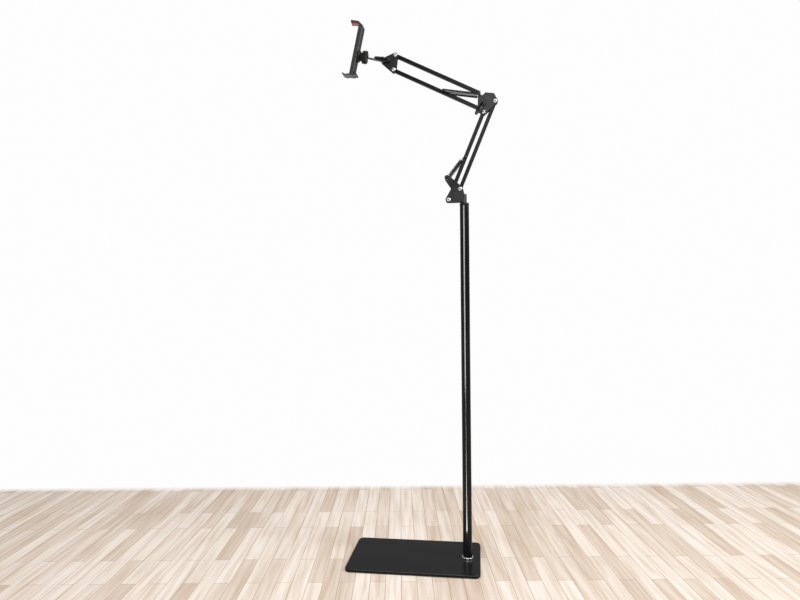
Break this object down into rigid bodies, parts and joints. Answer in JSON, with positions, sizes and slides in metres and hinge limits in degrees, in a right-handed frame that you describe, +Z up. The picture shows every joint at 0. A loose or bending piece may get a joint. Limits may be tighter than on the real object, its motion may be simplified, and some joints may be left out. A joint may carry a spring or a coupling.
{
  "type": "adjustable tablet floor stand",
  "caption": "Floor stand with a flat base, one pole and a sprung parallel-link arm that carries a ball-jointed clamp for a tablet.",
  "frame": {"origin": "centre of the base's underside, on the floor", "axes": "+X along the base's long side towards the pole, +Y across the base, away from the wing knobs, +Z up; the arm reaches over the base towards -X"},
  "size_m": [0.434, 0.215, 1.5128],
  "materials": {
    "base_plate": "fine textured black powder coat",
    "anti_slip_mat": "matt rubber",
    "pole_bolt": "black oxide steel",
    "pole_foot_plug": "turned steel",
    "foot_ring": "polished chrome",
    "pole": "satin black lacquer",
    "pole_top_bush": "smooth black plastic",
    "bracket_spigot": "satin black",
    "bracket_cheek_front": "satin black powder coat",
    "bracket_cheek_rear": "satin black powder coat",
    "bracket_rivets": "nickel-plated steel",
    "bracket_washers": "black nylon",
    "lower_spring_front": "dark spring wire",
    "lower_spring_rear": "dark spring wire",
    "lower_front_bar": "satin black lacquer on square tube",
    "lower_front_bar_plugs": "black plastic",
    "lower_spring_pin": "plated steel pin",
    "lower_rear_bar": "satin black lacquer on square tube",
    "lower_rear_bar_plugs": "black plastic",
    "elbow_plate_front": "satin black powder coat",
    "elbow_plate_rear": "satin black powder coat",
    "elbow_rivets": "nickel-plated steel",
    "elbow_spring_bolt": "bright zinc-plated steel",
    "elbow_wing_bolt": "zinc-plated steel",
    "elbow_washers": "black nylon",
    "elbow_knob_washer": "zinc-plated steel",
    "upper_spring_front": "dark spring wire",
    "upper_spring_rear": "dark spring wire",
    "elbow_wing_knob": "black plastic",
    "upper_bottom_bar": "satin black lacquer on square tube",
    "upper_bottom_bar_plugs": "black plastic",
    "upper_spring_pin": "plated steel pin",
    "upper_top_bar": "satin black lacquer on square tube",
    "upper_top_bar_plugs": "black plastic",
    "head_plate_front": "satin black powder coat",
    "head_plate_rear": "satin black powder coat",
    "head_rivets": "nickel-plated steel",
    "head_washers": "black nylon",
    "head_wing_bolt": "zinc-plated steel",
    "head_knob_washer": "zinc-plated steel",
    "head_wing_knob": "black plastic",
    "ball_rod": "polished steel",
    "ball_seat_cup": "natural acetal",
    "ball_seat_ring": "natural acetal",
    "ball_socket": "black plastic",
    "socket_screws": "black steel screw",
    "clamp_casing": "fine grained black plastic",
    "clamp_cover": "fine grained black plastic",
    "clamp_cover_screw": "black steel screw",
    "lower_jaw": "fine grained black plastic",
    "lower_jaw_pad": "soft red rubber",
    "lower_jaw_screws": "black steel screw",
    "jaw_springs": "dark spring wire",
    "ball_nut": "black plastic",
    "upper_jaw": "fine grained black plastic",
    "upper_jaw_pad": "soft red rubber"
  },
  "bodies": {
    "base": {"base_plate": "base_plate", "anti_slip_mat": "anti_slip_mat", "pole_bolt": "pole_bolt", "pole_foot_plug": "pole_foot_plug", "foot_ring": "foot_ring", "pole": "pole", "pole_top_bush": "pole_top_bush"},
    "bracket": {"bracket_spigot": "bracket_spigot", "bracket_cheek_front": "bracket_cheek_front", "bracket_cheek_rear": "bracket_cheek_rear", "bracket_rivets": "bracket_rivets", "bracket_washers": "bracket_washers", "lower_spring_front": "lower_spring_front", "lower_spring_rear": "lower_spring_rear"},
    "lower_front": {"lower_front_bar": "lower_front_bar", "lower_front_bar_plugs": "lower_front_bar_plugs", "lower_spring_pin": "lower_spring_pin"},
    "lower_rear": {"lower_rear_bar": "lower_rear_bar", "lower_rear_bar_plugs": "lower_rear_bar_plugs"},
    "elbow": {"elbow_plate_front": "elbow_plate_front", "elbow_plate_rear": "elbow_plate_rear", "elbow_rivets": "elbow_rivets", "elbow_spring_bolt": "elbow_spring_bolt", "elbow_wing_bolt": "elbow_wing_bolt", "elbow_washers": "elbow_washers", "elbow_knob_washer": "elbow_knob_washer", "upper_spring_front": "upper_spring_front", "upper_spring_rear": "upper_spring_rear"},
    "elbow_knob": {"elbow_wing_knob": "elbow_wing_knob"},
    "upper_bottom": {"upper_bottom_bar": "upper_bottom_bar", "upper_bottom_bar_plugs": "upper_bottom_bar_plugs", "upper_spring_pin": "upper_spring_pin"},
    "upper_top": {"upper_top_bar": "upper_top_bar", "upper_top_bar_plugs": "upper_top_bar_plugs"},
    "head": {"head_plate_front": "head_plate_front", "head_plate_rear": "head_plate_rear", "head_rivets": "head_rivets", "head_washers": "head_washers", "head_wing_bolt": "head_wing_bolt", "head_knob_washer": "head_knob_washer"},
    "head_knob": {"head_wing_knob": "head_wing_knob"},
    "rod": {"ball_rod": "ball_rod"},
    "seat_cup": {"ball_seat_cup": "ball_seat_cup"},
    "seat_ring": {"ball_seat_ring": "ball_seat_ring"},
    "holder": {"ball_socket": "ball_socket", "socket_screws": "socket_screws", "clamp_casing": "clamp_casing", "clamp_cover": "clamp_cover", "clamp_cover_screw": "clamp_cover_screw", "lower_jaw": "lower_jaw", "lower_jaw_pad": "lower_jaw_pad", "lower_jaw_screws": "lower_jaw_screws", "jaw_springs": "jaw_springs"},
    "nut": {"ball_nut": "ball_nut"},
    "sliding_jaw": {"upper_jaw": "upper_jaw", "upper_jaw_pad": "upper_jaw_pad"}
  },
  "joints": [
    {"name": "arm_swivel", "type": "hinge", "parent": "base", "child": "bracket", "pos_m": [0.145, 0, 0.988], "axis": [0, 0, 1], "continuous": true},
    {"name": "lower_arm_swing", "type": "hinge", "parent": "bracket", "child": "lower_front", "pos_m": [0.1014, 0, 0.9985], "axis": [0, -1, 0], "range_deg": [-12, 70], "deforming": ["lower_spring_front", "lower_spring_rear"]},
    {"name": "lower_rear_follow", "type": "hinge", "parent": "bracket", "child": "lower_rear", "pos_m": [0.13368, 0, 1.02706], "axis": [0, -1, 0], "range_deg": [-12, 70]},
    {"name": "elbow_level", "type": "hinge", "parent": "lower_front", "child": "elbow", "pos_m": [0.19934, 0, 1.23611], "axis": [0, -1, 0], "range_deg": [-70, 12]},
    {"name": "elbow_knob_spin", "type": "hinge", "parent": "elbow", "child": "elbow_knob", "pos_m": [0.19111, 0, 1.24605], "axis": [0, -1, 0], "continuous": true},
    {"name": "upper_arm_swing", "type": "hinge", "parent": "elbow", "child": "upper_bottom", "pos_m": [0.19111, 0, 1.24605], "axis": [0, -1, 0], "range_deg": [-45, 55], "deforming": ["upper_spring_front", "upper_spring_rear"]},
    {"name": "upper_top_follow", "type": "hinge", "parent": "elbow", "child": "upper_top", "pos_m": [0.19652, 0, 1.28659], "axis": [0, -1, 0], "range_deg": [-45, 55]},
    {"name": "head_level", "type": "hinge", "parent": "upper_bottom", "child": "head", "pos_m": [-0.04868, 0, 1.36796], "axis": [0, -1, 0], "range_deg": [-55, 45]},
    {"name": "head_knob_spin", "type": "hinge", "parent": "head", "child": "head_knob", "pos_m": [-0.07848, 0, 1.39508], "axis": [0, -1, 0], "continuous": true},
    {"name": "rod_tilt", "type": "hinge", "parent": "head", "child": "rod", "pos_m": [-0.07848, 0, 1.39508], "axis": [0, -1, 0], "range_deg": [-60, 60]},
    {"name": "ball_nod", "type": "hinge", "parent": "rod", "child": "seat_cup", "pos_m": [-0.13201, 0, 1.41013], "axis": [0, -1, 0], "range_deg": [-20, 20]},
    {"name": "ball_pan", "type": "hinge", "parent": "seat_cup", "child": "seat_ring", "pos_m": [-0.13201, 0, 1.41013], "axis": [0.2113, 0, 0.9774], "range_deg": [-24, 24]},
    {"name": "ball_roll", "type": "hinge", "parent": "seat_ring", "child": "holder", "pos_m": [-0.13201, 0, 1.41013], "axis": [-0.9774, 0, 0.2113], "continuous": true},
    {"name": "ball_nut_spin", "type": "hinge", "parent": "holder", "child": "nut", "pos_m": [-0.13201, 0, 1.41013], "axis": [-0.9774, 0, 0.2113], "continuous": true},
    {"name": "upper_jaw_slide", "type": "slide", "parent": "holder", "child": "sliding_jaw", "axis": [0.2113, 0, 0.9774], "range_m": [0, 0.08], "stiffness_N_per_m": 60, "springref_m": -0.05, "deforming": ["jaw_springs"]}
  ],
  "couplings": [
    {"joint": "lower_rear_follow", "follows": "lower_arm_swing", "ratio": 1},
    {"joint": "elbow_level", "follows": "lower_arm_swing", "ratio": -1},
    {"joint": "upper_top_follow", "follows": "upper_arm_swing", "ratio": 1},
    {"joint": "head_level", "follows": "upper_arm_swing", "ratio": -1}
  ]
}
